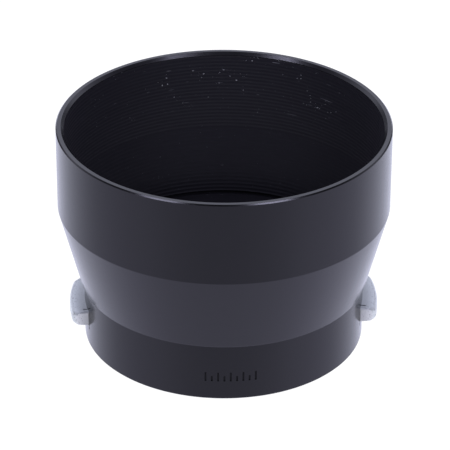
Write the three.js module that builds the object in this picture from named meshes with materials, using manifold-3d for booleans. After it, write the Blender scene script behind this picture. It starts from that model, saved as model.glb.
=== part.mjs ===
// A clip-on lens hood: a black turned bell on a short collar that snaps over a 42 mm lens rim.
// Two satin buttons at the collar's sides each push a half-ring band across the collar, which draws
// the claw at the band's far end out of the lens groove. Both bands are the same part, turned half
// way round. Units are millimetres, +Z points out of the hood's mouth, and the origin is the centre
// of the rear face that the hood stands on. The buttons lie on the X axis.

import * as THREE from 'three';
import { mergeVertices } from 'three/addons/utils/BufferGeometryUtils.js';
import Module from 'manifold-3d';

const wasm = await Module();
wasm.setup();

// ---- Driving dimensions -------------------------------------------------------------------------

const LENS_RADIUS = 21.0;        // the lens rim that the hood clips on
const HEIGHT = 39.3;             // rear face to front rim
const RIM_RADIUS = 28.2;         // outside of the front cylinder
const MOUTH_RADIUS = 27.33;      // inner edge of the front rim
const SHOULDER_Z = 24.7;         // where the front cylinder turns into the cone
const CONE_FOOT_Z = 10.4;        // where the cone ends above the collar
const CONE_FOOT_RADIUS = 24.5;
const COLLAR_RADIUS = 24.0;

const RING_SIDES = 72;           // facets round every large turned part
const PIN_SIDES = 12;            // facets round rivets and screws
const FIT_GAP = 0.1;             // clearance between parts that are assembled together
const BOND_GAP = 0.05;           // between faces that are riveted or screwed tight
const OVERCUT = 0.4;             // how far a cutter passes through the face it cuts
const FAR = 40;                  // further out than any part of the hood

// Bell
const RIM_CHAMFER = 0.2;
const MOUTH_CHAMFER = 0.5;       // bevel from the rim down to the grooved bore
const BORE_RADIUS = MOUTH_RADIUS - MOUTH_CHAMFER;   // crests of the front cylinder's grooves
const CONE_BORE_RADIUS = 24.1;   // the same crests where the cone bore ends
const RELIEF_RADIUS = 24.45;     // undercut that ends the grooves, just above the ledge
const RELIEF_HEIGHT = 0.8;

// Collar
const COLLAR_CHAMFER = 0.2;
const SPIGOT_RADIUS = 23.2;      // threaded neck inside the bell
const LEDGE_Z = 12.5;            // top of the ledge that stops the lens
const LEDGE_CHAMFER = 0.3;
const LEDGE_BORE_RADIUS = 18.9;
const SEAT_Z = 10.8;             // face that the lens rim meets
const SEAT_RADIUS = 20.3;
const SEAT_STEP = 0.3;           // the seat stands this proud of the rest of the ledge's underside
const CHANNEL_RADIUS = 23.2;     // outer wall of the channel that the bands slide in
const CHANNEL_LOW_Z = 3.5;
const CHANNEL_HIGH_Z = 6.5;

// Sleeve
const SLEEVE_BORE = LENS_RADIUS + 0.1;
const SLEEVE_WALL = 0.45;
const SLEEVE_TOP_Z = SEAT_Z + SEAT_STEP - FIT_GAP;
const SLEEVE_LEAD_IN = 0.5;      // chamfer that guides the lens rim in
const SPRING_LUG = { near: 2.2, far: 3.0, top: 5.6 };   // along X beside the spring, and its height

// Bands and claws
const TRAVEL = 0.8;              // how far a button goes in
const BAND_THICKNESS = 0.5;
const BAND_LOW_Z = 3.7;
const BAND_HIGH_Z = 6.3;
const BAND_INNER = SLEEVE_BORE + SLEEVE_WALL + FIT_GAP + TRAVEL / 2;   // about the band's own centre
const BAND_OUTER = BAND_INNER + BAND_THICKNESS;
const BAND_SHIFT = -TRAVEL / 2;  // the band's centre at rest, towards its own button
const BAND_BUTTON_END = 172.8;   // degrees round from the claw side
const BAND_CLAW_END = -6.0;
const NOTCH = { low: -2.8, high: SPRING_LUG.far + FIT_GAP, top: 5.7 }; // gap in the band for the spring
const CLAW_SPAN = [-5.5, 11.5];  // degrees
const CLAW_TIP_RADIUS = 20.45;
const CLAW_ROOT = [4.2, 5.8];    // heights where the claw passes through the sleeve
const CLAW_TOOTH = { low: 4.4, flat: 4.9, high: 5.6 };   // its ramp runs from low to flat
const CLAW_SLOT_MARGIN = 0.25;   // room at each end of the claw in the sleeve's slot
const CLAW_SLOT_LOW_Z = 3.8;
const CLAW_RIVET_ANGLES = [0.0, 6.5];
const CLAW_RIVET_DEPTH = 0.75;   // how far the rivet reaches into the claw

// Buttons
const BUTTON_RADIUS = 26.57;     // outer face, concentric with the collar
const BUTTON_BACK_RADIUS = 23.85;
const BUTTON_HALF_LENGTH = 6.0;
const BUTTON_LOW_Z = 3.6;
const BUTTON_HIGH_Z = 6.4;
const BUTTON_TAPER = 0.2;        // how far its top and bottom faces close in towards the outer face
const BUTTON_LOW_ROUND = 0.7;    // radii of its long outer edges
const BUTTON_HIGH_ROUND = 0.95;
const BUTTON_ROUND_STEPS = 5;
// Its outer corners seen from above, as distances [inwards, along] from the outer face's very end.
const BUTTON_CORNER = [[0.75, 0], [0.46, 0.11], [0.34, 0.4], [-0.2, 1.0]];
const BUTTON_SLIT = { at: 5.0, width: 0.16, end: 24.2, depth: 0.4 };   // staking slits by the wall
const BUTTON_WINDOW_GAP = 0.15;
const FOOT_SPAN = [166.3, 172.6];   // degrees: the foot that joins the button to its band
const FOOT_OVERLAP = 0.8;        // how far the foot runs into the button's head
const BUTTON_RIVET_ANGLES = [167.9, 170.7];
const BUTTON_RIVET_DEPTH = 1.2;  // how far the rivet reaches into the button

// Fasteners and springs
const RIVET_RADIUS = 0.3;
const RIVET_HOLE_RADIUS = RIVET_RADIUS + FIT_GAP;
const RIVET_Z = (BAND_LOW_Z + BAND_HIGH_Z) / 2;
const RIVET_SHY = 0.02;          // the rivet's head ends this far below the band's face
const CLAW_RIVET_START = BAND_INNER + BAND_SHIFT - CLAW_RIVET_DEPTH;
const BUTTON_RIVET_END = BUTTON_BACK_RADIUS + BUTTON_RIVET_DEPTH;
const SCREW_ANGLES = [45, 135, 225, 315];
const SCREW_Z = 8.7;
const SCREW = { shank: 0.5, head: 0.95, headDepth: 0.4, length: 1.95, slotWidth: 0.24, slotDepth: 0.18 };
const SCREW_SLOT_TURN = 30;      // degrees that the slots stand away from upright
const SCREW_TOP = SLEEVE_BORE + 0.06;   // the heads lie just below the bore
const SPRING = { wire: 0.11, coil: 0.5, turns: 7, stepsPerTurn: 10, sides: 6, radius: 22.3 };

// ---- Geometry helpers ---------------------------------------------------------------------------

const radians = THREE.MathUtils.degToRad;

// A three.js geometry as a manifold solid.
function toSolid(geometry) {
  const bare = new THREE.BufferGeometry();
  bare.setAttribute('position', geometry.getAttribute('position'));
  if (geometry.index) bare.setIndex(geometry.index);
  const merged = mergeVertices(bare, 1e-4);
  return new wasm.Manifold(new wasm.Mesh({
    numProp: 3,
    vertProperties: new Float32Array(merged.attributes.position.array),
    triVerts: new Uint32Array(merged.index.array),
  }));
}

// A manifold solid as a flat-shaded three.js geometry.
function toGeometry(solid) {
  const mesh = solid.getMesh();
  const geometry = new THREE.BufferGeometry();
  geometry.setAttribute('position', new THREE.BufferAttribute(mesh.vertProperties, 3));
  geometry.setIndex(new THREE.BufferAttribute(mesh.triVerts, 1));
  const flat = geometry.toNonIndexed();
  flat.computeVertexNormals();
  return flat;
}

// A ring turned round Z from a closed [radius, height] outline, in either direction.
function turned(outline, sides = RING_SIDES) {
  const points = outline.map(([r, z]) => new THREE.Vector2(r, z));
  if (THREE.ShapeUtils.isClockWise(points)) points.reverse();
  const lathe = new THREE.LatheGeometry([...points, points[0]], sides);
  return toSolid(lathe.rotateX(Math.PI / 2));
}

// A block between two corners.
function block([x0, y0, z0], [x1, y1, z1]) {
  const box = new THREE.BoxGeometry(x1 - x0, y1 - y0, z1 - z0);
  return toSolid(box.translate((x0 + x1) / 2, (y0 + y1) / 2, (z0 + z1) / 2));
}

// A vertical wedge from the Z axis that covers the angles from start to end, in degrees.
function wedge(start, end) {
  const corners = [new THREE.Vector2(0, 0)];
  const steps = Math.ceil((end - start) / 30);
  for (let i = 0; i <= steps; i += 1) {
    const angle = radians(start + (end - start) * i / steps);
    corners.push(new THREE.Vector2(FAR * Math.cos(angle), FAR * Math.sin(angle)));
  }
  const shape = new THREE.Shape(corners);
  return toSolid(new THREE.ExtrudeGeometry(shape, { depth: HEIGHT, bevelEnabled: false }));
}

// A solid of revolution from an outline of [radius, distance out], laid along a radius of the hood.
function radialPin(outline, angle, z) {
  const points = outline.map(([r, out]) => new THREE.Vector2(r, out));
  const lathe = new THREE.LatheGeometry(points, PIN_SIDES);
  lathe.rotateZ(-Math.PI / 2);
  lathe.rotateZ(radians(angle));
  return toSolid(lathe.translate(0, 0, z));
}

// A plain pin along a radius, from one distance out to another.
function plainPin(radius, from, to, angle, z) {
  return radialPin([[0, from], [radius, from], [radius, to], [0, to]], angle, z);
}

// A ring turned about a band's own centre, which lies a little off the hood's axis at rest.
function turnedWithBand(outline) {
  return turned(outline).translate([BAND_SHIFT, 0, 0]);
}

// The second clamp is the first one turned half way round.
function halfTurn(solid) {
  return solid.rotate([0, 0, 180]);
}

// ---- Turned parts -------------------------------------------------------------------------------

function makeBell() {
  return turned([
    [SPIGOT_RADIUS + FIT_GAP, CONE_FOOT_Z + FIT_GAP / 2],
    [CONE_FOOT_RADIUS, CONE_FOOT_Z + FIT_GAP / 2],
    [RIM_RADIUS, SHOULDER_Z],
    [RIM_RADIUS, HEIGHT - RIM_CHAMFER],
    [RIM_RADIUS - RIM_CHAMFER, HEIGHT],
    [MOUTH_RADIUS, HEIGHT],
    [BORE_RADIUS, HEIGHT - MOUTH_CHAMFER],
    [BORE_RADIUS, SHOULDER_Z],
    [CONE_BORE_RADIUS, LEDGE_Z + RELIEF_HEIGHT],
    [RELIEF_RADIUS, LEDGE_Z + RELIEF_HEIGHT - FIT_GAP],
    [RELIEF_RADIUS, LEDGE_Z - FIT_GAP],
    [SPIGOT_RADIUS + FIT_GAP, LEDGE_Z - FIT_GAP],
  ]);
}

function makeCollar() {
  const sleeveSeat = SLEEVE_BORE + SLEEVE_WALL + FIT_GAP / 2;
  let collar = turned([
    [CHANNEL_RADIUS, 0],
    [COLLAR_RADIUS - COLLAR_CHAMFER, 0],
    [COLLAR_RADIUS, COLLAR_CHAMFER],
    [COLLAR_RADIUS, CONE_FOOT_Z],
    [SPIGOT_RADIUS, CONE_FOOT_Z],
    [SPIGOT_RADIUS, LEDGE_Z],
    [LEDGE_BORE_RADIUS + LEDGE_CHAMFER, LEDGE_Z],
    [LEDGE_BORE_RADIUS, LEDGE_Z - LEDGE_CHAMFER],
    [LEDGE_BORE_RADIUS, SEAT_Z],
    [SEAT_RADIUS, SEAT_Z],
    [SEAT_RADIUS, SEAT_Z + SEAT_STEP],
    [sleeveSeat, SEAT_Z + SEAT_STEP],
    [sleeveSeat, CHANNEL_HIGH_Z],
    [CHANNEL_RADIUS, CHANNEL_HIGH_Z],
  ]);
  const windowHalf = BUTTON_HALF_LENGTH + BUTTON_WINDOW_GAP;
  const windowCut = block([sleeveSeat - OVERCUT, -windowHalf, CHANNEL_LOW_Z],
    [FAR, windowHalf, CHANNEL_HIGH_Z]);
  collar = collar.subtract(windowCut).subtract(halfTurn(windowCut));
  const holeEnd = SCREW_TOP + SCREW.length + FIT_GAP;
  for (const angle of SCREW_ANGLES) {
    const hole = plainPin(SCREW.shank + FIT_GAP, SCREW_TOP, holeEnd, angle, SCREW_Z);
    collar = collar.subtract(hole);
  }
  return collar;
}

// A countersunk screw with its head towards the axis, thickened all round by a clearance.
function screwBlank(angle, clearance) {
  return radialPin([
    [0, SCREW_TOP],
    [SCREW.head + clearance, SCREW_TOP],
    [SCREW.shank + clearance, SCREW_TOP + SCREW.headDepth],
    [SCREW.shank + clearance, SCREW_TOP + SCREW.length],
    [0, SCREW_TOP + SCREW.length],
  ], angle, SCREW_Z);
}

function makeSleeve() {
  const outer = SLEEVE_BORE + SLEEVE_WALL;
  let sleeve = turned([
    [SLEEVE_BORE + SLEEVE_LEAD_IN, 0],
    [CHANNEL_RADIUS - FIT_GAP, 0],
    [CHANNEL_RADIUS - FIT_GAP, CHANNEL_LOW_Z],
    [outer, CHANNEL_LOW_Z],
    [outer, SLEEVE_TOP_Z],
    [SLEEVE_BORE, SLEEVE_TOP_Z],
    [SLEEVE_BORE, SLEEVE_LEAD_IN],
  ]);
  const lug = block([SPRING_LUG.near, outer - SLEEVE_WALL, CHANNEL_LOW_Z - OVERCUT],
    [SPRING_LUG.far, CHANNEL_RADIUS - 3 * FIT_GAP, SPRING_LUG.top]);
  const slotFrom = SLEEVE_BORE * Math.sin(radians(CLAW_SPAN[0])) - CLAW_SLOT_MARGIN;
  const slotTo = SLEEVE_BORE * Math.sin(radians(CLAW_SPAN[1])) + CLAW_SLOT_MARGIN;
  const slot = block([0, slotFrom, CLAW_SLOT_LOW_Z], [outer + OVERCUT, slotTo, SLEEVE_TOP_Z + OVERCUT]);
  sleeve = sleeve.add(lug).add(halfTurn(lug)).subtract(slot).subtract(halfTurn(slot));
  for (const angle of SCREW_ANGLES) {
    const opening = plainPin(SCREW.head + BOND_GAP, SLEEVE_BORE - OVERCUT, SCREW_TOP, angle, SCREW_Z);
    sleeve = sleeve.subtract(screwBlank(angle, BOND_GAP).add(opening));
  }
  return sleeve;
}

function makeScrew(angle) {
  const half = SCREW.slotWidth / 2;
  const slot = block([SCREW_TOP - OVERCUT, -half, -FAR], [SCREW_TOP + SCREW.slotDepth, half, FAR])
    .rotate([SCREW_SLOT_TURN, 0, 0])
    .rotate([0, 0, angle])
    .translate([0, 0, SCREW_Z]);
  return screwBlank(angle, 0).subtract(slot);
}

// ---- The clamp on the left button, whose claw is on the right -----------------------------------

function makeBand() {
  const ring = turnedWithBand([
    [BAND_INNER, BAND_LOW_Z], [BAND_OUTER, BAND_LOW_Z],
    [BAND_OUTER, BAND_HIGH_Z], [BAND_INNER, BAND_HIGH_Z],
  ]);
  let band = ring.intersect(wedge(BAND_CLAW_END, BAND_BUTTON_END));
  band = band.subtract(block([NOTCH.low, 0, 0], [NOTCH.high, FAR, NOTCH.top]));
  for (const angle of [...BUTTON_RIVET_ANGLES, ...CLAW_RIVET_ANGLES]) {
    band = band.subtract(plainPin(RIVET_HOLE_RADIUS, CLAW_TIP_RADIUS, FAR, angle, RIVET_Z));
  }
  return band;
}

function makeClaw() {
  const back = BAND_INNER - BOND_GAP;
  const [rootLow, rootHigh] = CLAW_ROOT;
  const toothFace = SLEEVE_BORE - BAND_SHIFT;
  const tip = CLAW_TIP_RADIUS - BAND_SHIFT;
  const ring = turnedWithBand([
    [back, rootLow], [back, rootHigh],
    [toothFace, rootHigh], [toothFace, CLAW_TOOTH.high],
    [tip, CLAW_TOOTH.high], [tip, CLAW_TOOTH.flat],
    [toothFace, CLAW_TOOTH.low], [toothFace, rootLow],
  ]);
  let claw = ring.intersect(wedge(CLAW_SPAN[0], CLAW_SPAN[1]));
  for (const angle of CLAW_RIVET_ANGLES) {
    const hole = plainPin(RIVET_HOLE_RADIUS, CLAW_RIVET_START - FIT_GAP, FAR, angle, RIVET_Z);
    claw = claw.subtract(hole);
  }
  return claw;
}

// The D-shaped section of a button, with its two outer edges rounded.
function buttonSection() {
  const points = [[BUTTON_BACK_RADIUS, BUTTON_LOW_Z]];
  const corners = [
    { round: BUTTON_LOW_ROUND, z: BUTTON_LOW_Z + BUTTON_TAPER + BUTTON_LOW_ROUND, from: -90 },
    { round: BUTTON_HIGH_ROUND, z: BUTTON_HIGH_Z - BUTTON_TAPER - BUTTON_HIGH_ROUND, from: 0 },
  ];
  for (const { round, z, from } of corners) {
    for (let i = 0; i <= BUTTON_ROUND_STEPS; i += 1) {
      const angle = radians(from + 90 * i / BUTTON_ROUND_STEPS);
      points.push([BUTTON_RADIUS - round + round * Math.cos(angle), z + round * Math.sin(angle)]);
    }
  }
  points.push([BUTTON_BACK_RADIUS, BUTTON_HIGH_Z]);
  return points;
}

// The outline that a button's head is cut to, seen from above.
function buttonPlan() {
  const half = BUTTON_HALF_LENGTH;
  const endX = Math.sqrt(BUTTON_RADIUS ** 2 - half ** 2);
  const corner = BUTTON_CORNER.map(([inwards, along]) => [inwards - endX, along - half]);
  const straightFrom = corner[corner.length - 1][1];
  const side = [[0, -half], ...corner, [-FAR, straightFrom]];
  const otherSide = side.map(([x, y]) => [x, -y]).reverse();
  const shape = new THREE.Shape([...side, ...otherSide].map(([x, y]) => new THREE.Vector2(x, y)));
  return toSolid(new THREE.ExtrudeGeometry(shape, { depth: HEIGHT, bevelEnabled: false }));
}

function makeButton() {
  const head = turned(buttonSection()).intersect(buttonPlan());
  const footBack = BAND_OUTER + BOND_GAP;
  const footFront = BUTTON_BACK_RADIUS + FOOT_OVERLAP;
  const footRing = turnedWithBand([
    [footBack, BAND_LOW_Z], [footFront, BAND_LOW_Z],
    [footFront, BAND_HIGH_Z], [footBack, BAND_HIGH_Z],
  ]);
  let button = head.add(footRing.intersect(wedge(FOOT_SPAN[0], FOOT_SPAN[1])));
  for (const y of [-BUTTON_SLIT.at, BUTTON_SLIT.at]) {
    button = button.subtract(block(
      [-BUTTON_SLIT.end, y - BUTTON_SLIT.width / 2, BUTTON_HIGH_Z - BUTTON_SLIT.depth],
      [-footFront + 2 * FOOT_OVERLAP, y + BUTTON_SLIT.width / 2, HEIGHT]));
  }
  for (const angle of BUTTON_RIVET_ANGLES) {
    const hole = plainPin(RIVET_HOLE_RADIUS, BAND_INNER, BUTTON_RIVET_END + FIT_GAP, angle, RIVET_Z);
    button = button.subtract(hole);
  }
  return button;
}

function makeButtonRivet(angle) {
  return plainPin(RIVET_RADIUS, BAND_INNER - BAND_SHIFT, BUTTON_RIVET_END, angle, RIVET_Z);
}

function makeClawRivet(angle) {
  return plainPin(RIVET_RADIUS, CLAW_RIVET_START, BAND_OUTER + BAND_SHIFT - RIVET_SHY, angle, RIVET_Z);
}

// The coil spring that lies along X between the sleeve's lug and the end of the band's notch.
function makeSpring() {
  const from = NOTCH.low + FIT_GAP + SPRING.wire;
  const to = SPRING_LUG.near - FIT_GAP - SPRING.wire;
  const turns = SPRING.turns;
  class Helix extends THREE.Curve {
    getPoint(t, target = new THREE.Vector3()) {
      const angle = 2 * Math.PI * turns * t;
      return target.set(
        from + (to - from) * t,
        SPRING.radius + SPRING.coil * Math.cos(angle),
        RIVET_Z + SPRING.coil * Math.sin(angle));
    }
  }
  const section = new THREE.Shape();
  for (let i = 0; i < SPRING.sides; i += 1) {
    const angle = 2 * Math.PI * i / SPRING.sides;
    const [x, y] = [SPRING.wire * Math.cos(angle), SPRING.wire * Math.sin(angle)];
    if (i) section.lineTo(x, y);
    else section.moveTo(x, y);
  }
  return toSolid(new THREE.ExtrudeGeometry(section, {
    steps: turns * SPRING.stepsPerTurn, extrudePath: new Helix(), bevelEnabled: false,
  }));
}

// ---- Materials ----------------------------------------------------------------------------------

const finishes = {
  blackAnodised: { color: 0x1b1b20, roughness: 0.42, metalness: 0.35 },
  blackSleeve: { color: 0x17171a, roughness: 0.5, metalness: 0.3 },
  satinChrome: { color: 0xb4b8c6, roughness: 0.38, metalness: 0.9 },
  brass: { color: 0xb08d4f, roughness: 0.35, metalness: 0.95 },
  steel: { color: 0x9a9ca0, roughness: 0.3, metalness: 0.95 },
};

// ---- Assembly -----------------------------------------------------------------------------------

const hood = new THREE.Group();

function addPart(name, finish, solid) {
  const mesh = new THREE.Mesh(toGeometry(solid), new THREE.MeshStandardMaterial(finishes[finish]));
  mesh.name = name;
  hood.add(mesh);
}

// One clamp: its button is on the named side, and its claw on the other.
function addClamp(side, turn) {
  addPart(`${side}_button`, 'satinChrome', turn(makeButton()));
  addPart(`${side}_band`, 'brass', turn(makeBand()));
  addPart(`${side}_band_claw`, 'steel', turn(makeClaw()));
  addPart(`${side}_return_spring`, 'steel', turn(makeSpring()));
  BUTTON_RIVET_ANGLES.forEach((angle, i) => {
    addPart(`${side}_button_rivet_${i + 1}`, 'brass', turn(makeButtonRivet(angle)));
  });
  CLAW_RIVET_ANGLES.forEach((angle, i) => {
    addPart(`${side}_claw_rivet_${i + 1}`, 'brass', turn(makeClawRivet(angle)));
  });
}

addPart('hood_bell', 'blackAnodised', makeBell());
addPart('mount_collar', 'blackAnodised', makeCollar());
addPart('lens_sleeve', 'blackSleeve', makeSleeve());
SCREW_ANGLES.forEach((angle, i) => addPart(`sleeve_screw_${i + 1}`, 'steel', makeScrew(angle)));
addClamp('left', (solid) => solid);
addClamp('right', halfTurn);

export default hood;
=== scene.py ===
"""A clip-on lens hood: a black turned bell on a short collar, with two satin release buttons.

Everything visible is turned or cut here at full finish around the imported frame. Lengths are in
millimetres in this file and become metres where a mesh is made.
"""
import math

import bmesh
import bpy
from mathutils import Matrix, Vector


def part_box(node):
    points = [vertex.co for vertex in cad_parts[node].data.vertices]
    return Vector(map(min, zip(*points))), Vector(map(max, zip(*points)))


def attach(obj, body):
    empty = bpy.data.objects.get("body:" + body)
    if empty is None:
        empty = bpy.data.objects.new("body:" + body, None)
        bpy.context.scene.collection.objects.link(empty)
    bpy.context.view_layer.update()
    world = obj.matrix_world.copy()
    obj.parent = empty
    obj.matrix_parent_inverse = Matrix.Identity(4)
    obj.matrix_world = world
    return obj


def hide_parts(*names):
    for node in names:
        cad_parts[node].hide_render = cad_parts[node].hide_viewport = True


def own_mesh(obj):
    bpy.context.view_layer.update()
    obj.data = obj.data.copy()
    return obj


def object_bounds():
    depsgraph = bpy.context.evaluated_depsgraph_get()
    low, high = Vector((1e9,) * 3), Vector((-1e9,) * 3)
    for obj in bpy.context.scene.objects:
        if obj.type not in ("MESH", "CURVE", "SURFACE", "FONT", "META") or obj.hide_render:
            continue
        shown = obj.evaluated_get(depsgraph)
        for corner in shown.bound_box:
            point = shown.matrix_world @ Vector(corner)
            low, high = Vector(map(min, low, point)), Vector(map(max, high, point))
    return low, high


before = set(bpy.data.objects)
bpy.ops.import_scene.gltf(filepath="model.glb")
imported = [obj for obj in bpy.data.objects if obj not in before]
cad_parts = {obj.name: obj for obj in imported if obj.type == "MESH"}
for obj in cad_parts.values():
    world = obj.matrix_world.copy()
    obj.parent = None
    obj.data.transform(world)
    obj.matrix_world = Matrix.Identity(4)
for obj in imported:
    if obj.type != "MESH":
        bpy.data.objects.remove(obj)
cad_low, cad_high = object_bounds()

MM = 0.001

# ---- Sizes, the outer ones read from the frame's own boxes --------------------------------------


def node_box(node):
    """A CAD node's lowest and highest corners, in millimetres."""
    low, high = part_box(node)
    return low / MM, high / MM


bell_low, bell_high = node_box("hood_bell")
collar_high = node_box("mount_collar")[1]
sleeve_high = node_box("lens_sleeve")[1]
button_low, button_high = node_box("left_button")

RIM_RADIUS = bell_high.x
HEIGHT = bell_high.z
BELL_FOOT_Z = bell_low.z
COLLAR_RADIUS = collar_high.x
LEDGE_Z = collar_high.z
SLEEVE_TOP_Z = sleeve_high.z
SLEEVE_RADIUS = sleeve_high.x

# Bell
SHOULDER_Z = 24.7
FOOT_RADIUS = COLLAR_RADIUS + 0.5
RIM_CHAMFER = 0.2
MOUTH_RADIUS = RIM_RADIUS - 0.87
MOUTH_CHAMFER = 0.5
BORE_RADIUS = MOUTH_RADIUS - MOUTH_CHAMFER
CONE_BORE_RADIUS = 24.1
GROOVE_PITCH = 0.667
GROOVE_DEPTH = 0.045
RELIEF_RADIUS = 24.45
RELIEF_TOP_Z = LEDGE_Z + 0.8
NECK_RADIUS = 23.2

# Collar and sleeve
COLLAR_TOP_Z = BELL_FOOT_Z - 0.05
LEDGE_BORE_RADIUS = 18.9
SEAT_RADIUS = 20.3
SEAT_Z = 10.8
CHANNEL_LOW_Z = 3.5
CHANNEL_HIGH_Z = 6.5
SLEEVE_BORE = 21.1
SLEEVE_OUTER = 21.55
SPRING_LUG_X = (2.2, 3.0)     # the lug on the sleeve that the spring leans on
SPRING_LUG_TOP = 5.6
CLAW_SLOT_Y = (-2.27, 4.45)   # the claw's way through the sleeve
CLAW_SLOT_LOW_Z = 3.8
WINDOW_HALF = button_high.y + 0.15
SCREW_ANGLES = (45, 135, 225, 315)
SCREW_Z = 8.7
SCREW_TOP = SLEEVE_BORE + 0.06   # the heads lie just below the bore
SCREW_HEAD = 0.95        # radius
SCREW_SHANK = 0.5        # radius
SCREW_HEAD_DEPTH = 0.4
SCREW_LENGTH = 1.95
SCREW_GAP = 0.05
SCREW_HOLE_PHASE = 4     # degrees; keeps the drill's flats off the seams of the sleeve's wall
SCREW_SLOT_HALF = 0.12
SCREW_SLOT_DEPTH = 0.18
SCREW_SLOT_TURN = 30     # degrees
FOOT_SHADE_Z = 0.25     # below this the collar has the dull inside black: painted shade where it stands on the floor
MARK_ANGLE = -89         # degrees; the middle of the index scale on the collar
MARK_SPACING = 1.05
MARK_WIDTH = 0.3
MARK_DEPTH = 0.12
MARK_LOW_Z = 3.5
MARK_LONG_Z = 5.2
MARK_SHORT_Z = 4.5
RELIEF_HALF = 0.17       # undercuts below the corners of the button windows
RELIEF_DROP = 0.4

# Buttons and claws
BUTTON_RADIUS = -button_low.x
BUTTON_BACK_RADIUS = 23.85
BUTTON_HALF = button_high.y
BUTTON_LOW_Z = button_low.z
BUTTON_HIGH_Z = button_high.z
BUTTON_TAPER = 0.2       # how far its top and bottom close in towards the outer face
BUTTON_LOW_ROUND = 0.7   # radii of its long outer edges
BUTTON_HIGH_ROUND = 0.95
BUTTON_EDGE = 0.3        # fillet round each end face
BUTTON_BOW_FROM = 4.9    # the outer face falls away from here to the ends
BUTTON_BOW = 0.38
SLIT_Y = 5.0             # staking slits in its top, beside the wall
SLIT_HALF = 0.14
SLIT_DEPTH = 0.5
SLIT_REACH = 24.25
BUTTON_FOOT_ANGLES = (166.3, 172.6)   # degrees round from the claw
BUTTON_FOOT_RADII = (23.0, 24.6)
BUTTON_FOOT_Z = (3.7, 6.3)
CLAW_ANGLES = (-5.4, 11.4)
CLAW_TIP_RADIUS = 20.45
CLAW_ROOT_RADIUS = 22.0
CLAW_ROOT_Z = (4.2, 5.8)
CLAW_TOOTH_Z = (4.4, 4.9, 5.6)    # the foot and the top of its ramp, and its upper face
TRAVEL = 0.8
BAND_SHIFT = TRAVEL / 2       # the band's centre at rest, towards its own button

# Springs
SPRING_WIRE = 0.105      # radius
SPRING_TURNS = 7
SPRING_SIDES = 12
SPRING_STEPS = 36        # points along one turn

# Mesh fineness
SIDES = 288              # facets round the large turned pieces
FILLET_STEPS = 4
FILLET_MARGIN = 1.4      # how far the flat stretch beside a fillet is held, as a share of its reach
ROUND_STEPS = 10         # along each fillet of the button's section
END_STEPS = 6            # along the fillet round each end face of a button
BAR_STEPS = 40           # along the button between those fillets
ARC_STEPS = 24           # along the button's foot and the claw

# Wear, and painted light and shade
DEPTH_SHADE_LOW = 0.6                  # how much of the inside black's brightness is left at the ledge: painted shade deep in the bore
BARE_AND_GLINT = (0.9, 0.92, 0.95, 1.0)   # metal where the black is worn through; this pale it also stands in for the lamps' glints on the crests, as painted highlight
SHADE_RADIUS = 24.2              # the chrome is painted darkest this close to the axis: painted shade by the collar wall
HIGHLIGHT_RADIUS = 26.4            # and painted lightest out here: painted highlight on the outer edge

# ---- Mesh helpers -------------------------------------------------------------------------------


def rounded(corners, steps=FILLET_STEPS):
    """A closed outline from (x, y, fillet radius) corners.

    Each fillet is a short arc, with one more point just outside each of its ends: that keeps the
    shading of the long flat stretches flat right up to the fillet.
    """
    points = []
    count = len(corners)
    for i, (x, y, radius) in enumerate(corners):
        here = Vector((x, y))
        before = Vector(corners[i - 1][:2])
        after = Vector(corners[(i + 1) % count][:2])
        if radius == 0:
            points.append(here)
            continue
        to_before = (before - here).normalized()
        to_after = (after - here).normalized()
        half = to_before.angle(to_after) / 2
        reach = radius / math.tan(half)
        centre = here + (to_before + to_after).normalized() * (radius / math.sin(half))
        start = here + to_before * reach - centre
        end = here + to_after * reach - centre
        first = math.atan2(start.y, start.x)
        sweep = (math.atan2(end.y, end.x) - first + math.pi) % (2 * math.pi) - math.pi
        points.append(here + to_before * reach * FILLET_MARGIN)
        for k in range(steps + 1):
            angle = first + sweep * k / steps
            points.append(centre + radius * Vector((math.cos(angle), math.sin(angle))))
        points.append(here + to_after * reach * FILLET_MARGIN)
    return points


def new_object(name, verts, faces, smooth_angle=35):
    """A closed mesh object from millimetre points, shaded smooth except across sharp edges."""
    mesh = bpy.data.meshes.new(name)
    mesh.from_pydata([Vector(v) * MM for v in verts], [], faces)
    work = bmesh.new()
    work.from_mesh(mesh)
    bmesh.ops.recalc_face_normals(work, faces=work.faces)
    work.to_mesh(mesh)
    work.free()
    mesh.shade_smooth()
    mesh.set_sharp_from_angle(angle=math.radians(smooth_angle))
    piece = bpy.data.objects.new(name, mesh)
    bpy.context.scene.collection.objects.link(piece)
    return piece


def turned(name, outline, smooth_angle=35):
    """A ring turned round Z from a closed outline of (radius, height) points."""
    count = len(outline)
    verts = []
    for k in range(SIDES):
        angle = 2 * math.pi * k / SIDES
        verts += [(r * math.cos(angle), r * math.sin(angle), z) for r, z in outline]
    faces = []
    for k in range(SIDES):
        here, there = k * count, (k + 1) % SIDES * count
        for i in range(count):
            j = (i + 1) % count
            faces.append((here + i, here + j, there + j, there + i))
    return new_object(name, verts, faces, smooth_angle)


def box_faces(low, high):
    """The corners and faces of a box, used only as a cutter."""
    spans = list(zip(low, high))
    verts = [(x, y, z) for x in spans[0] for y in spans[1] for z in spans[2]]
    faces = [(0, 1, 3, 2), (4, 6, 7, 5), (0, 4, 5, 1), (2, 3, 7, 6), (0, 2, 6, 4), (1, 5, 7, 3)]
    return verts, faces


def join_parts(parts):
    """One list of points and faces from several."""
    verts, faces = [], []
    for part_verts, part_faces in parts:
        base = len(verts)
        verts += part_verts
        faces += [tuple(base + i for i in face) for face in part_faces]
    return verts, faces


def moved(part, matrix):
    """The points of a (points, faces) pair under a matrix."""
    return [tuple(matrix @ Vector(v)) for v in part[0]], part[1]


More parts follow.
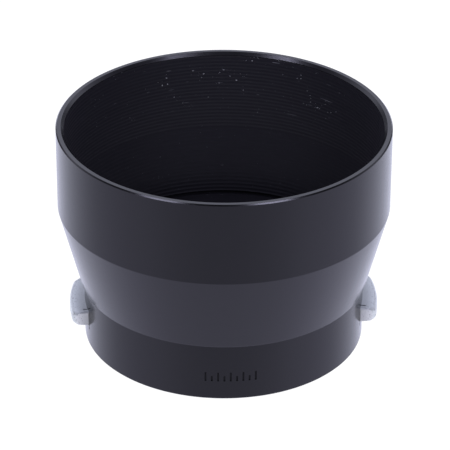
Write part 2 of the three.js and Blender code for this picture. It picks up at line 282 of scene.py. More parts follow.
def combine(piece, cutters, operation="DIFFERENCE", smooth_angle=35):
    """Cuts or joins closed (points, faces) solids with a piece, and keeps the result as its mesh."""
    verts, faces = join_parts(cutters)
    tool = new_object("tool", verts, faces)
    modifier = piece.modifiers.new("combine", "BOOLEAN")
    modifier.operation = operation
    modifier.solver = "EXACT"
    modifier.object = tool
    bpy.context.view_layer.update()
    evaluated = piece.evaluated_get(bpy.context.evaluated_depsgraph_get())
    result = bpy.data.meshes.new_from_object(evaluated)
    old = piece.data
    piece.modifiers.clear()
    piece.data = result
    result.name = piece.name
    result.set_sharp_from_angle(angle=math.radians(smooth_angle))
    bpy.data.meshes.remove(old)
    bpy.data.meshes.remove(tool.data)


def half_turn(part):
    """The same solid on the other side of the hood."""
    return moved(part, Matrix.Rotation(math.pi, 4, "Z"))


# ---- Materials ----------------------------------------------------------------------------------


class Nodes:
    """Short names for building one material's node tree."""

    def __init__(self, name):
        self.material = bpy.data.materials.new(name)
        self.material.use_nodes = True
        self.tree = self.material.node_tree
        self.shader = self.tree.nodes["Principled BSDF"]

    def add(self, kind, inputs=None, **settings):
        node = self.tree.nodes.new(kind)
        for key, value in settings.items():
            setattr(node, key, value)
        for key, value in (inputs or {}).items():
            if isinstance(value, bpy.types.NodeSocket):
                self.tree.links.new(value, node.inputs[key])
            else:
                node.inputs[key].default_value = value
        return node

    def maths(self, operation, a, b=0.0):
        return self.add("ShaderNodeMath", {0: a, 1: b}, operation=operation).outputs[0]

    def times(self, a, b):
        return self.maths("MULTIPLY", a, b)

    def stretched(self, vector, factors):
        node = self.add("ShaderNodeVectorMath", {0: vector, 1: factors}, operation="MULTIPLY")
        return node.outputs[0]

    def halves(self, a, b):
        """The mean of two numbers."""
        return self.maths("ADD", self.times(a, 0.5), self.times(b, 0.5))

    def ramp(self, value, low, high):
        """0 below low and 1 above high, smoothly."""
        node = self.add("ShaderNodeMapRange", {"Value": value, "From Min": low, "From Max": high},
                        interpolation_type="SMOOTHSTEP")
        return node.outputs["Result"]

    def mix(self, share, a, b):
        """A colour between a and b."""
        node = self.add("ShaderNodeMix", data_type="RGBA")
        for index, value in ((0, share), (6, a), (7, b)):
            if isinstance(value, bpy.types.NodeSocket):
                self.tree.links.new(value, node.inputs[index])
            else:
                node.inputs[index].default_value = value
        return node.outputs[2]

    def spread(self, share, low, high):
        """A number between low and high."""
        node = self.add("ShaderNodeMapRange", {"Value": share, "To Min": low, "To Max": high})
        return node.outputs["Result"]

    def place(self):
        return self.add("ShaderNodeTexCoord").outputs["Object"]

    def noise(self, vector, scale, detail):
        """Noise whose features are about 1 / scale metres across."""
        node = self.add("ShaderNodeTexNoise", {"Vector": vector, "Scale": scale, "Detail": detail})
        return node.outputs["Fac"]

    def coordinates(self, vector):
        return self.add("ShaderNodeSeparateXYZ", {0: vector}).outputs

    def radius(self, vector):
        """The distance from the hood's axis."""
        x, y, _ = self.coordinates(vector)
        return self.maths("SQRT", self.maths("ADD", self.times(x, x), self.times(y, y)))

    def turning(self, vector, per_metre):
        """Fine rings left by the lathe, on walls and flat faces alike."""
        height = self.coordinates(vector)[2]
        along = self.add("ShaderNodeCombineXYZ", {0: self.radius(vector), 1: height}).outputs[0]
        slow = self.stretched(vector, (0.012, 0.012, 0.0))
        where = self.add("ShaderNodeVectorMath", {0: along, 1: slow}, operation="ADD").outputs[0]
        return self.noise(where, per_metre, 1.0)

    def depth_shade_ramp(self, vector):
        """0 at the ledge and 1 at the mouth: how much light the painted shade deep in the bore leaves.
        """
        height = self.coordinates(vector)[2]
        limits = {"Value": height, "From Min": LEDGE_Z * MM, "From Max": HEIGHT * MM}
        return self.add("ShaderNodeMapRange", limits).outputs["Result"]

    def bump(self, height, distance, strength=1.0, after=None):
        inputs = {"Height": height, "Distance": distance, "Strength": strength}
        if after is not None:
            inputs["Normal"] = after
        return self.add("ShaderNodeBump", inputs).outputs["Normal"]

    def set(self, **values):
        for key, value in values.items():
            socket = self.shader.inputs[key.replace("_", " ")]
            if isinstance(value, bpy.types.NodeSocket):
                self.tree.links.new(value, socket)
            else:
                socket.default_value = value


def grey(value):
    """The faintly blue grey of the outside black."""
    return (value, value, value * 1.12, 1.0)


def violet(value):
    """The faintly violet grey of the inside black."""
    return (value * 0.98, value * 0.95, value * 1.2, 1.0)


def scaled(colour, factor):
    return tuple(c * factor for c in colour[:3]) + (1.0,)


def black_finish(name, base, roughness, level, worn_from, depth_shaded=False):
    """Satin black over aluminium: lathe rings, soft mottling, and small rubbed spots.

    A depth-shaded finish is painted darker towards the ledge and paler towards the mouth: painted shade
    where less light reaches down the bore.
    """
    n = Nodes(name)
    place = n.place()
    rings = n.turning(place, 9000.0)
    mottle = n.noise(place, 700.0, 3.0)
    speck = n.ramp(n.noise(place, 2600.0, 2.0), worn_from, worn_from + 0.04)
    dye_and_shade = n.mix(mottle, grey(base * 0.8), grey(base * 1.2))
    if depth_shaded:
        pale = n.mix(mottle, violet(base), violet(base * 1.4))
        # painted shade: darker down the bore towards the ledge
        dye_and_shade = n.mix(n.depth_shade_ramp(place), violet(base * DEPTH_SHADE_LOW), pale)
    n.set(Base_Color=n.mix(speck, dye_and_shade, grey(0.1)),
          Roughness=n.spread(n.halves(rings, mottle), roughness - 0.06, roughness + 0.06),
          Normal=n.bump(rings, 2.0e-6, 0.6, n.bump(mottle, 6.0e-6, 0.35)))
    n.shader.inputs["Specular IOR Level"].default_value = level
    return n.material


def metal_finish(name, colour, roughness, grain=1.0, metallic=1.0, pitted=0.66):
    """Plated or bare metal with fine scratches, a slightly uneven polish and small dark pits.

    It is painted darker close to the hood's axis, which takes in the parts inside it, and lighter
    further out: painted shade by the collar wall and painted highlight at the outer edge.
    """
    n = Nodes(name)
    place = n.place()
    scratches = n.noise(n.stretched(place, (1.0, 1.0, 9.0)), 2500.0, 3.0)
    cloud = n.noise(place, 500.0, 3.0)
    pits = n.ramp(n.noise(place, 3800.0, 2.0), pitted, pitted + 0.08)
    dark = scaled(colour, 0.6)
    # painted shade towards the axis, painted highlight towards the outer edge
    shade_to_highlight = n.ramp(n.radius(place), SHADE_RADIUS * MM, HIGHLIGHT_RADIUS * MM)
    plate_and_painted_light = n.mix(shade_to_highlight, scaled(colour, 0.72), scaled(colour, 1.1))
    clouded = n.mix(cloud, plate_and_painted_light, n.mix(0.1, plate_and_painted_light, dark))
    n.set(Base_Color=n.mix(pits, clouded, dark),
          Roughness=n.spread(n.halves(scratches, cloud), roughness - 0.08, roughness + 0.1),
          Normal=n.bump(scratches, 4.0e-6 * grain, 0.5, n.bump(cloud, 1.2e-5 * grain, 0.4)))
    n.shader.inputs["Metallic"].default_value = metallic
    return n.material


def worn_and_glint_finish(name, base, roughness):
    """The inside black, worn to the metal in dots and faint streaks on the back's upper crests, where
    the lamps glint: the pale spots are partly wear and partly painted highlight, and the black is
    painted darker towards the ledge as painted shade.
    """
    n = Nodes(name)
    place = n.place()
    x, y, z = n.coordinates(place)
    arc = n.times(n.maths("ARCTAN2", y, x), BORE_RADIUS * MM)
    along = n.add("ShaderNodeCombineXYZ", {0: arc, 1: z}).outputs[0]
    long = n.stretched(along, (0.1, 1.0, 1.0))
    # the upper back, where the lamps glint on the crests: the pale spots here are painted highlight as
    # well as wear
    upper_back = n.times(n.ramp(z, 26 * MM, 33 * MM), n.ramp(y, 12 * MM, 22 * MM))
    patch = n.ramp(n.noise(along, 300.0, 1.0), 0.55, 0.61)
    dots = n.times(n.ramp(n.noise(along, 2600.0, 1.0), 0.69, 0.70), patch)
    streaks = n.times(n.ramp(n.noise(long, 3000.0, 1.0), 0.70, 0.74), 0.25)
    bare_and_glint = n.times(n.maths("MAXIMUM", dots, streaks), upper_back)
    # painted shade: darker down the bore towards the ledge
    dye_and_shade = n.mix(n.depth_shade_ramp(place), violet(base * DEPTH_SHADE_LOW), violet(base * 1.2))
    n.set(Base_Color=n.mix(bare_and_glint, dye_and_shade, BARE_AND_GLINT),
          Metallic=n.times(bare_and_glint, 0.3),
          Roughness=n.spread(bare_and_glint, roughness, 0.35),
          Normal=n.bump(bare_and_glint, 1.5e-4, 0.9))
    n.shader.inputs["Specular IOR Level"].default_value = 0.3
    return n.material


outside_black = black_finish("outside_black", base=0.0015, roughness=0.2, level=0.5, worn_from=0.82)
edge_black = black_finish("edge_black", base=0.012, roughness=0.2, level=0.5, worn_from=0.82)
inside_black = black_finish("inside_black", base=0.02, roughness=0.5, level=0.3, worn_from=0.72,
                            depth_shaded=True)
mark_black = black_finish("mark_black", base=0.004, roughness=0.6, level=0.25, worn_from=0.9)
worn_and_glint_black = worn_and_glint_finish("worn_and_glint_black", base=0.02, roughness=0.5)
sleeve_black = black_finish("sleeve_black", base=0.005, roughness=0.4, level=0.5, worn_from=0.82)
satin_chrome = metal_finish("satin_chrome", (0.72, 0.76, 0.75, 1.0), roughness=0.45, grain=2.0,
                            metallic=0.4, pitted=0.6)
# a paler, less metallic copy of the satin chrome: painted light on the buttons' end faces
lit_end_chrome = metal_finish("lit_end_chrome", (0.94, 0.96, 1.0, 1.0), roughness=0.5, grain=2.0,
                          metallic=0.2, pitted=0.6)
spring_steel = metal_finish("spring_steel", (0.56, 0.56, 0.58, 1.0), roughness=0.28, grain=0.5)
rolled_brass = metal_finish("rolled_brass", (0.72, 0.52, 0.24, 1.0), roughness=0.3)


def finish_piece(piece, body, node, slot, *materials):
    """Gives a piece its materials, and ties it to the frame."""
    for material in materials:
        piece.data.materials.append(material)
    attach(piece, body)
    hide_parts(node)


# ---- Bell ---------------------------------------------------------------------------------------

# One groove from its crest down, as shares of the pitch and of the depth.
GROOVE_SHAPE = ((0.0, 0.0), (0.22, 0.0), (0.38, 0.7), (0.52, 1.0), (0.68, 1.0), (0.84, 0.6))
GROOVE_STEPS = len(GROOVE_SHAPE)
# The mouth chamfer and the fillet below it are the last steps of the bell's outside outline.
MOUTH_STEPS = FILLET_STEPS + 4


def bore_crest(z):
    """The radius of the groove crests at a height in the bell."""
    if z > SHOULDER_Z:
        return BORE_RADIUS
    share = (z - RELIEF_TOP_Z) / (SHOULDER_Z - RELIEF_TOP_Z)
    return CONE_BORE_RADIUS + (BORE_RADIUS - CONE_BORE_RADIUS) * share


def bore_grooves():
    """The bore's anti-glare grooves, from the mouth down, as (radius, height) points."""
    points = []
    top = HEIGHT - MOUTH_CHAMFER - 0.1
    count = round((top - RELIEF_TOP_Z) / GROOVE_PITCH)
    pitch = (top - RELIEF_TOP_Z) / count
    for k in range(count):
        for share, depth in GROOVE_SHAPE:
            z = top - (k + share) * pitch
            points.append(Vector((bore_crest(z) + depth * GROOVE_DEPTH, z)))
    return points


def make_bell():
    """The black bell, its bore grooved, with its finishes given step by step round its outline."""
    outside = rounded([
        (NECK_RADIUS + 0.1, BELL_FOOT_Z, 0.05),
        (FOOT_RADIUS, BELL_FOOT_Z, 0.14),
        (RIM_RADIUS, SHOULDER_Z, 0.12),
        (RIM_RADIUS, HEIGHT - RIM_CHAMFER, 0.04),
        (RIM_RADIUS - RIM_CHAMFER, HEIGHT, 0.025),
        (MOUTH_RADIUS, HEIGHT, 0.025),
        (BORE_RADIUS, HEIGHT - MOUTH_CHAMFER, 0.04),
    ])
    floor = rounded([
        (CONE_BORE_RADIUS, RELIEF_TOP_Z, 0.0),
        (RELIEF_RADIUS, RELIEF_TOP_Z - 0.1, 0.0),
        (RELIEF_RADIUS, LEDGE_Z - 0.1, 0.0),
        (NECK_RADIUS + 0.1, LEDGE_Z - 0.1, 0.0),
    ])
    grooves = bore_grooves()
    outline = outside + grooves + floor
    bell = turned("bell_shell", outline, smooth_angle=50)
    finish_piece(bell, "housing", "hood_bell", "black_anodised",
                 outside_black, inside_black, worn_and_glint_black, edge_black)
    for polygon in bell.data.polygons:
        step = polygon.index % len(outline) - len(outside)
        on_crest = step % GROOVE_STEPS in (0, GROOVE_STEPS - 1)
        if step < -MOUTH_STEPS:
            finish = outside_black
        elif step < 0:
            finish = edge_black
        # the crests take the worn finish, whose pale spots are partly painted highlight
        elif step < len(grooves) and on_crest:
            finish = worn_and_glint_black
        else:
            finish = inside_black
        polygon.material_index = bell.data.materials.find(finish.name)


# ---- Collar -------------------------------------------------------------------------------------


def index_marks():
    """Cutters for a plain index scale: a row of long and short strokes on the collar's front."""
    cutters = []
    for k in range(-4, 5):
        angle = math.radians(MARK_ANGLE) + k * MARK_SPACING / COLLAR_RADIUS
        top = MARK_LONG_Z if k % 2 == 0 else MARK_SHORT_Z
        stroke = box_faces((COLLAR_RADIUS - MARK_DEPTH, -MARK_WIDTH / 2, MARK_LOW_Z),
                           (COLLAR_RADIUS + 0.5, MARK_WIDTH / 2, top))
        cutters.append(moved(stroke, Matrix.Rotation(angle, 4, "Z")))
    return cutters


def window_reliefs():
    """Cutters for the small reliefs at the lower corners of both button windows."""
    corners = [
        box_faces((22, y - RELIEF_HALF, CHANNEL_LOW_Z - RELIEF_DROP),
                  (30, y + RELIEF_HALF, CHANNEL_LOW_Z + 0.05))
        for y in (-WINDOW_HALF, WINDOW_HALF)
    ]
    return corners + [half_turn(corner) for corner in corners]


def on_mark_floor(x, y, z):
    """Whether a point of the collar is on the floor of an index stroke."""
    near = abs(x) < 6 and y < 0 and MARK_LOW_Z - 0.1 < z < MARK_LONG_Z + 0.1
    return near and abs(math.hypot(x, y) - COLLAR_RADIUS + MARK_DEPTH) < 0.03


def make_collar():
    """The collar below the bell, with its windows for the buttons and the plain index scale."""
    seat_wall = SLEEVE_OUTER + 0.05
    collar = turned("collar_shell", rounded([
        (NECK_RADIUS, 0.0, 0.04),
        (COLLAR_RADIUS - 0.2, 0.0, 0.06),
        (COLLAR_RADIUS, 0.2, 0.08),
        (COLLAR_RADIUS, COLLAR_TOP_Z, 0.05),
        (NECK_RADIUS, COLLAR_TOP_Z, 0.0),
        (NECK_RADIUS, LEDGE_Z, 0.04),
        (LEDGE_BORE_RADIUS + 0.3, LEDGE_Z, 0.05),
        (LEDGE_BORE_RADIUS, LEDGE_Z - 0.3, 0.05),
        (LEDGE_BORE_RADIUS, SEAT_Z, 0.05),
        (SEAT_RADIUS, SEAT_Z, 0.05),
        (SEAT_RADIUS, SEAT_Z + 0.3, 0.0),
        (seat_wall, SEAT_Z + 0.3, 0.0),
        (seat_wall, CHANNEL_HIGH_Z, 0.04),
        (NECK_RADIUS, CHANNEL_HIGH_Z, 0.0),
    ]))
    window = box_faces((20, -WINDOW_HALF, CHANNEL_LOW_Z), (30, WINDOW_HALF, CHANNEL_HIGH_Z))
    combine(collar, [window, half_turn(window)])
    combine(collar, window_reliefs() + index_marks())
    finish_piece(collar, "housing", "mount_collar", "black_anodised",
                 outside_black, inside_black, mark_black)
    for polygon in collar.data.polygons:
        x, y, z = polygon.center / MM
        # the inside faces take the inside black, and so does the foot, as painted shade at the floor
        if z > BELL_FOOT_Z + 0.1 or z < FOOT_SHADE_Z:
            polygon.material_index = 1
        elif on_mark_floor(x, y, z):
            polygon.material_index = 2


# ---- Sleeve and screws --------------------------------------------------------------------------


def radial(angle, z):
    """The move that takes the X axis to the radius at an angle in degrees and a height."""
    return Matrix.Translation((0, 0, z)) @ Matrix.Rotation(math.radians(angle), 4, "Z")


def rolled(angle):
    """A turn about the X axis, in degrees."""
    return Matrix.Rotation(math.radians(angle), 4, "X")


def spun(outline, angle, z, sides=32):
    """A solid turned about a radius of the hood.

    Its outline is (radius, distance out) points, the first and the last of them on its axis.
    """
    verts, faces = [], []
    inner, outer = outline[0], outline[-1]
    ring = outline[1:-1]
    verts.append((inner[1], 0, 0))
    for r, out in ring:
        for k in range(sides):
            around = 2 * math.pi * k / sides
            verts.append((out, r * math.cos(around), r * math.sin(around)))
    verts.append((outer[1], 0, 0))
    last = len(verts) - 1
    for k in range(sides):
        j = (k + 1) % sides
        faces.append((0, 1 + j, 1 + k))
        for i in range(len(ring) - 1):
            a, b = 1 + i * sides, 1 + (i + 1) * sides
            faces.append((a + k, a + j, b + j, b + k))
        faces.append((last, last - sides + k, last - sides + j))
    return moved((verts, faces), radial(angle, z))


def make_sleeve():
    """The inner sleeve, with its two spring lugs, two claw slots and four countersunk holes."""
    sleeve = turned("sleeve_tube", rounded([
        (SLEEVE_BORE + 0.5, 0.0, 0.05),
        (SLEEVE_RADIUS, 0.0, 0.05),
        (SLEEVE_RADIUS, CHANNEL_LOW_Z, 0.05),
        (SLEEVE_OUTER, CHANNEL_LOW_Z, 0.0),
        (SLEEVE_OUTER, SLEEVE_TOP_Z, 0.04),
        (SLEEVE_BORE, SLEEVE_TOP_Z, 0.04),
        (SLEEVE_BORE, 0.5, 0.1),
    ]))
    lug = box_faces((SPRING_LUG_X[0], SLEEVE_BORE, CHANNEL_LOW_Z - 0.4),
                    (SPRING_LUG_X[1], SLEEVE_RADIUS - 0.2, SPRING_LUG_TOP))
    slot = box_faces((10, CLAW_SLOT_Y[0], CLAW_SLOT_LOW_Z),
                     (SLEEVE_OUTER + 0.4, CLAW_SLOT_Y[1], SLEEVE_TOP_Z + 10))
    combine(sleeve, [lug, half_turn(lug)], "UNION")
    head, shank = SCREW_HEAD + SCREW_GAP, SCREW_SHANK + SCREW_GAP
    neck = SCREW_TOP + SCREW_HEAD_DEPTH
    drill = spun([(0, 20.8), (head, 20.8), (head, SCREW_TOP), (shank, neck), (shank, 23), (0, 23)], 0, 0)
    phase = rolled(SCREW_HOLE_PHASE)
    screw_holes = [moved(drill, radial(angle, SCREW_Z) @ phase) for angle in SCREW_ANGLES]
    combine(sleeve, [slot, half_turn(slot), *screw_holes])
    finish_piece(sleeve, "housing", "lens_sleeve", "black_sleeve", sleeve_black)


def make_screw(index, angle):
    """A countersunk screw, driven outwards from the bore, with a slotted head."""
    neck, tip = SCREW_TOP + SCREW_HEAD_DEPTH, SCREW_TOP + SCREW_LENGTH
    outline = [
        (0, SCREW_TOP),
        (SCREW_HEAD - 0.05, SCREW_TOP),
        (SCREW_HEAD, SCREW_TOP + 0.04),
        (SCREW_SHANK, neck),
        (SCREW_SHANK, tip),
        (0, tip),
    ]
    verts, faces = spun(outline, angle, SCREW_Z)
    screw = new_object(f"screw_{index}", verts, faces)
    slot = box_faces((20, -SCREW_SLOT_HALF, -3), (SCREW_TOP + SCREW_SLOT_DEPTH, SCREW_SLOT_HALF, 3))
    combine(screw, [moved(slot, radial(angle, SCREW_Z) @ rolled(SCREW_SLOT_TURN))])
    finish_piece(screw, "housing", f"sleeve_screw_{index}", "steel", spring_steel)


# ---- Buttons ------------------------------------------------------------------------------------


def button_section(inset, bow):
    """The button's D-shaped section as (radius, height), drawn in all round and at its outer face."""
    low, high = BUTTON_LOW_Z + inset, BUTTON_HIGH_Z - inset
    outer, back = BUTTON_RADIUS - bow - inset, BUTTON_BACK_RADIUS + inset
    return rounded([
        (back, low, 0.02),
        (outer, low + BUTTON_TAPER, BUTTON_LOW_ROUND - inset),
        (outer, high - BUTTON_TAPER, BUTTON_HIGH_ROUND - inset),
        (back, high, 0.02),
    ], ROUND_STEPS)


def button_bar():
    """A bar concentric with the collar, its outer face falling away a little towards its ends."""
    fillet = []
    for k in range(END_STEPS + 1):
        turn = math.pi / 2 * k / END_STEPS
        y = -BUTTON_HALF + BUTTON_EDGE * (1 - math.cos(turn))
        fillet.append((y, BUTTON_EDGE * (1 - math.sin(turn))))
    reach = BUTTON_HALF - BUTTON_EDGE
    middle = [(-reach + 2 * reach * k / BAR_STEPS, 0.0) for k in range(1, BAR_STEPS)]
    stations = fillet + middle + [(-y, inset) for y, inset in reversed(fillet)]
    verts, faces = [], []
    for y, inset in stations:
        share = max(0.0, (min(abs(y), reach) - BUTTON_BOW_FROM) / (reach - BUTTON_BOW_FROM))
        section = button_section(inset, BUTTON_BOW * share ** 2)
        verts += [(-math.sqrt(r * r - y * y), y, z) for r, z in section]
    count = len(section)
    for s in range(len(stations) - 1):
        for i in range(count):
            j = (i + 1) % count
            faces.append((s * count + i, s * count + j, (s + 1) * count + j, (s + 1) * count + i))
    faces.append(tuple(range(count)))
    faces.append(tuple(len(verts) - count + i for i in range(count)))
    return verts, faces


def arc_block(outline, start, end, shift):
    """A (radius, height) outline swept round Z between two angles, then moved along X."""
    verts, faces = [], []
    count = len(outline)
    for k in range(ARC_STEPS + 1):
        angle = math.radians(start + (end - start) * k / ARC_STEPS)
        verts += [(r * math.cos(angle) + shift, r * math.sin(angle), z) for r, z in outline]
    for k in range(ARC_STEPS):
        for i in range(count):
            j = (i + 1) % count
            faces.append((k * count + i, k * count + j, (k + 1) * count + j, (k + 1) * count + i))
    faces.append(tuple(range(count)))
    faces.append(tuple(ARC_STEPS * count + i for i in range(count)))
    return verts, faces


def on_side(side, part):
    """A left-hand solid as it is, or turned half round for the right-hand side."""
    return part if side == "left" else half_turn(part)


def make_button(side):
    """A release button: its bar, the foot that joins it to its band, and two slits in its top."""
    verts, faces = on_side(side, button_bar())
    button = new_object(f"{side}_button_bar", verts, faces, 50)
    inner, outer = BUTTON_FOOT_RADII
    low, high = BUTTON_FOOT_Z
    foot_outline = [(inner, low), (outer, low), (outer, high), (inner, high)]
    foot = arc_block(foot_outline, *BUTTON_FOOT_ANGLES, -BAND_SHIFT)
    combine(button, [on_side(side, foot)], "UNION", 50)
    slits = [
        box_faces((-SLIT_REACH, y - SLIT_HALF, BUTTON_HIGH_Z - SLIT_DEPTH),
                  (-23.0, y + SLIT_HALF, BUTTON_HIGH_Z + 1))
        for y in (-SLIT_Y, SLIT_Y)
    ]
    combine(button, [on_side(side, slit) for slit in slits], "DIFFERENCE", 50)
    finish_piece(button, f"{side}_clamp", f"{side}_button", "satin_chrome", satin_chrome, lit_end_chrome)
    # the end faces take the paler chrome copy, as painted light
    for polygon in button.data.polygons:
        if abs(polygon.normal.y) > 0.9 and abs(polygon.center.y) > (BUTTON_HALF - 0.1) * MM:
            polygon.material_index = 1


def make_claw(side):
    """The claw that reaches through the sleeve, with a ramp below its tip to ride over the lens."""
    tooth = SLEEVE_BORE + BAND_SHIFT
    tip = CLAW_TIP_RADIUS + BAND_SHIFT
    root_low, root_high = CLAW_ROOT_Z
    ramp_low, ramp_high, tooth_high = CLAW_TOOTH_Z
    outline = rounded([
        (CLAW_ROOT_RADIUS, root_low, 0.05),
        (CLAW_ROOT_RADIUS, root_high, 0.05),
        (tooth, root_high, 0.08),
        (tooth, tooth_high, 0.0),
        (tip, tooth_high, 0.06),
        (tip, ramp_high, 0.1),
        (tooth, ramp_low, 0.05),
        (tooth, root_low, 0.0),
    ])
    verts, faces = on_side(side, arc_block(outline, *CLAW_ANGLES, -BAND_SHIFT))
    claw = new_object(f"{side}_claw_jaw", verts, faces)
    finish_piece(claw, f"{side}_clamp", f"{side}_band_claw", "steel", spring_steel)


# ---- Springs ------------------------------------------------------------------------------------


def make_spring(side):
    """A coil between the sleeve's lug and the button's band; it is built at one length and tied to the
    housing, so it doesn't close up as the band moves.
    """
    low, high = node_box(f"{side}_return_spring")
    coil = (high.z - low.z) / 2 - SPRING_WIRE
    centre = Vector((0, (low.y + high.y) / 2, (low.z + high.z) / 2))
    start, length = low.x + SPRING_WIRE, high.x - low.x - 2 * SPRING_WIRE
    rise = length / (2 * math.pi * SPRING_TURNS * coil)
    verts, faces = [], []
    for k in range(SPRING_TURNS * SPRING_STEPS + 1):
        share = k / (SPRING_TURNS * SPRING_STEPS)
        angle = 2 * math.pi * SPRING_TURNS * share
        out = Vector((0, math.cos(angle), math.sin(angle)))
        along = Vector((rise, -math.sin(angle), math.cos(angle))).normalized()
        across = out.cross(along)
        middle = centre + out * coil + Vector((start + length * share, 0, 0))
        for i in range(SPRING_SIDES):
            around = 2 * math.pi * i / SPRING_SIDES
            verts.append(middle + (out * math.cos(around) + across * math.sin(around)) * SPRING_WIRE)
    for k in range(SPRING_TURNS * SPRING_STEPS):
        here, there = k * SPRING_SIDES, (k + 1) * SPRING_SIDES
        for i in range(SPRING_SIDES):
            j = (i + 1) % SPRING_SIDES
            faces.append((here + i, here + j, there + j, there + i))
    faces.append(tuple(range(SPRING_SIDES)))
    faces.append(tuple(len(verts) - SPRING_SIDES + i for i in range(SPRING_SIDES)))
    spring = new_object(f"{side}_spring_coil", verts, faces)
    finish_piece(spring, "housing", f"{side}_return_spring", "steel", spring_steel)
    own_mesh(spring)


# ---- The hood -----------------------------------------------------------------------------------

make_bell()
make_collar()
make_sleeve()
for number, screw_angle in enumerate(SCREW_ANGLES, 1):
    make_screw(number, screw_angle)
for clamp_side in ("left", "right"):
    make_button(clamp_side)
    make_claw(clamp_side)
    make_spring(clamp_side)
    brass_nodes = [f"{clamp_side}_band"]
    brass_nodes += [f"{clamp_side}_{kind}_rivet_{k}" for kind in ("button", "claw") for k in (1, 2)]
    for node in brass_nodes:
        cad_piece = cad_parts[node]
        cad_piece.data.materials.clear()
        cad_piece.data.materials.append(rolled_brass)

# ---- Floor, light and camera --------------------------------------------------------------------

STUDIO_TINT = (0.95, 0.94, 1.26, 1.0)
BACK_TINT = (0.95, 0.97, 1.20, 1.0)
PAPER_HALF = 1500

CAMERA_TURN = 2.0           # degrees
CAMERA_ELEVATION = 29.54
CAMERA_ROLL = 0.22
CAMERA_DISTANCE = 17.133    # in rim radii
CAMERA_LENS = 226.56


def make_floor():
    """A sheet of white paper that glows evenly, so that its edge doesn't show on the backdrop.

    The hood's gloss doesn't mirror it.
    """
    verts = [(x * PAPER_HALF, y * PAPER_HALF, 0) for x, y in ((-1, -1), (1, -1), (1, 1), (-1, 1))]
    floor = new_object("floor", verts, [(0, 1, 2, 3)])
    n = Nodes("floor_paper")
    n.set(Base_Color=(0.1, 0.1, 0.1, 1.0), Roughness=0.9,
          Emission_Color=(1.0, 1.0, 1.0, 1.0), Emission_Strength=1.02,
          Normal=n.bump(n.noise(n.place(), 900.0, 2.0), 1.0e-5, 0.2))
    n.shader.inputs["Specular IOR Level"].default_value = 0.1
    floor.data.materials.append(n.material)
    floor.visible_glossy = False


def softbox(name, azimuth, elevation, distance, size, power):
    """A rectangular light aimed at the hood.

    Azimuth 0 is at the camera's side, and positive is to the right. Angles are in degrees, and
    the distance and the size in metres.
    """
    a, e = math.radians(azimuth), math.radians(elevation)
    away = Vector((math.sin(a) * math.cos(e), -math.cos(a) * math.cos(e), math.sin(e)))
    lamp = bpy.data.lights.new(name, "AREA")
    lamp.shape = "RECTANGLE"
    lamp.size, lamp.size_y = size
    lamp.energy = power
    lamp.color = STUDIO_TINT[:3]
    light = bpy.data.objects.new(name, lamp)
    light.location = away * distance
    light.rotation_mode = "QUATERNION"
    light.rotation_quaternion = away.to_track_quat("Z", "Y")
    bpy.context.scene.collection.objects.link(light)


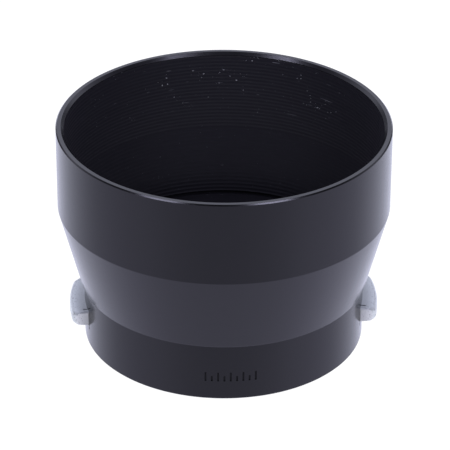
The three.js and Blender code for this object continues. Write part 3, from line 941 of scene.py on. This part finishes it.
def make_world():
    """A white studio: bright below and behind the hood, and dark above the camera's side.

    The hood's gloss mirrors this world through the floor, which only the camera and the soft
    light see.
    """
    world = bpy.data.worlds.new("studio")
    bpy.context.scene.world = world
    world.use_nodes = True
    tree = world.node_tree
    background = tree.nodes["Background"]

    def add(kind, **settings):
        node = tree.nodes.new(kind)
        for key, value in settings.items():
            setattr(node, key, value)
        return node

    def ramp(value, low, high, dark, light, shape="LINEAR"):
        node = add("ShaderNodeMapRange", interpolation_type=shape)
        tree.links.new(value, node.inputs["Value"])
        for key, number in (("From Min", low), ("From Max", high), ("To Min", dark), ("To Max", light)):
            node.inputs[key].default_value = number
        return node.outputs["Result"]

    def maths(operation, a, b):
        node = add("ShaderNodeMath", operation=operation)
        tree.links.new(a, node.inputs[0])
        tree.links.new(b, node.inputs[1])
        return node.outputs[0]

    def plus(a, b):
        return maths("ADD", a, b)

    def times(a, b):
        return maths("MULTIPLY", a, b)

    def blend(share, a, b):
        node = add("ShaderNodeMix")
        tree.links.new(share, node.inputs["Factor"])
        for key, value in (("A", a), ("B", b)):
            if isinstance(value, float):
                node.inputs[key].default_value = value
            else:
                tree.links.new(value, node.inputs[key])
        return node.outputs["Result"]

    apart = add("ShaderNodeSeparateXYZ")
    tree.links.new(add("ShaderNodeTexCoord").outputs["Generated"], apart.inputs[0])
    to_right, towards_back, up = apart.outputs
    near = plus(ramp(towards_back, -0.87, -0.5, 0.58, 0.8), ramp(towards_back, -0.5, 0.15, 0.0, 0.02))
    table = plus(near, ramp(towards_back, 0.15, 0.75, 0.0, 0.36))
    below = times(ramp(up, -0.75, -0.5, 0.24, 0.0), ramp(towards_back, -0.5, 0.1, 0.15, 1.0))
    table = plus(plus(table, below), ramp(up, -1.0, -0.88, 0.5, 0.0))
    table = times(table, ramp(to_right, -0.8, 0.8, 0.94, 1.06))
    horizon = times(ramp(towards_back, 0.4, 0.8, 0.0, 0.8), ramp(up, -0.38, -0.12, 0.0, 1.0))
    table = plus(table, horizon)
    wall = times(ramp(towards_back, -0.05, 0.7, 0.05, 1.12, "SMOOTHSTEP"),
                 ramp(up, 0.18, 0.42, 0.06, 1.0, "SMOOTHSTEP"))
    haze = ramp(up, 0.1, 0.5, 0.12, 0.06, "SMOOTHSTEP")
    room = blend(ramp(up, -0.15, 0.05, 0.0, 1.0), table, plus(wall, haze))
    tint = add("ShaderNodeMix", data_type="RGBA")
    tree.links.new(ramp(towards_back, -0.1, 0.6, 0.0, 1.0), tint.inputs[0])
    tint.inputs[6].default_value = STUDIO_TINT
    tint.inputs[7].default_value = BACK_TINT
    tree.links.new(tint.outputs[2], background.inputs["Color"])
    shown = blend(add("ShaderNodeLightPath").outputs["Is Camera Ray"], room, 1.1)
    tree.links.new(shown, background.inputs["Strength"])


def make_camera():
    """A long lens, well above the rim, with one button slightly nearer than the other."""
    aim = Vector((0.0002, 0.0, cad_high.z / 2 + 0.0001))
    turn, elevation = math.radians(CAMERA_TURN), math.radians(CAMERA_ELEVATION)
    distance = CAMERA_DISTANCE * RIM_RADIUS * MM
    back = Vector((-math.sin(turn) * math.cos(elevation), -math.cos(turn) * math.cos(elevation),
                   math.sin(elevation)))
    lens = bpy.data.cameras.new("camera")
    lens.sensor_width = 36.0
    lens.lens = CAMERA_LENS
    lens.clip_start, lens.clip_end = 0.01, 20.0
    camera = bpy.data.objects.new("camera", lens)
    camera.location = aim + back * distance
    camera.rotation_mode = "QUATERNION"
    level = back.to_track_quat("Z", "Y")
    roll = Matrix.Rotation(math.radians(CAMERA_ROLL), 4, "Z").to_quaternion()
    camera.rotation_quaternion = level @ roll
    bpy.context.scene.collection.objects.link(camera)
    bpy.context.scene.camera = camera


make_floor()
make_world()
softbox("softbox_left", -55.5, 53, 0.9, (0.26, 0.24), 1.3)
softbox("softbox_right", 39, 53, 0.9, (0.28, 0.24), 1.7)
make_camera()
bpy.context.scene.view_settings.view_transform = "Standard"
